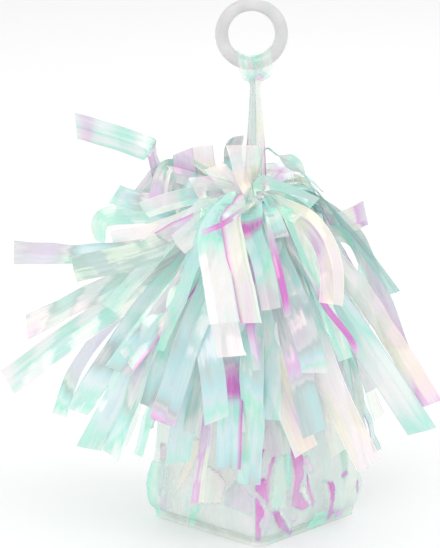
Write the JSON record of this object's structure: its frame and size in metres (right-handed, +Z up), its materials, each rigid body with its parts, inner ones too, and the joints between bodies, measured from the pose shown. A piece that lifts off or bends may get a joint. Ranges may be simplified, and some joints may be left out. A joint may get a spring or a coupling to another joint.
{
  "type": "balloon weight",
  "caption": "Film-wrapped balloon weight: a cast block in a gathered iridescent pouch, a tied crown of film fringe, and a ring on a film hanger for the balloon ribbon.",
  "frame": {"origin": "middle of the flat underside of the film pouch, where the weight stands", "axes": "+Z up the neck to the ring, +X to the right and -Y to the front, where a corner of the pouch points"},
  "size_m": [0.1096, 0.083, 0.1398],
  "materials": {
    "fringe_film": "clear iridescent film, glossy",
    "wrap_film": "clear iridescent film, crinkled and glossy",
    "hanger_film": "clear iridescent film, gathered",
    "tie_plastic": "smooth",
    "ring_plastic": "milky moulded plastic, satin",
    "cast_block": "cast, matt"
  },
  "bodies": {
    "weight": {"ballast_block": "cast_block", "wrap_film": "wrap_film", "neck_tie": "tie_plastic", "fringe_row_1": "fringe_film", "fringe_row_2": "fringe_film", "fringe_row_3": "fringe_film", "fringe_row_4": "fringe_film", "fringe_row_5": "fringe_film"},
    "hanger": {"hanger_strip": "hanger_film"},
    "ring": {"ring": "ring_plastic"}
  },
  "joints": [
    {"name": "neck_sway", "type": "hinge", "parent": "weight", "child": "hanger", "pos_m": [0, 0, 0.0895], "axis": [0, 1, 0], "range_deg": [-30, 30], "stiffness_Nm_per_rad": 0.0015},
    {"name": "ring_swing", "type": "hinge", "parent": "hanger", "child": "ring", "pos_m": [0, 0, 0.1228], "axis": [0.9903, 0, 0.1392], "range_deg": [-120, 120]}
  ]
}
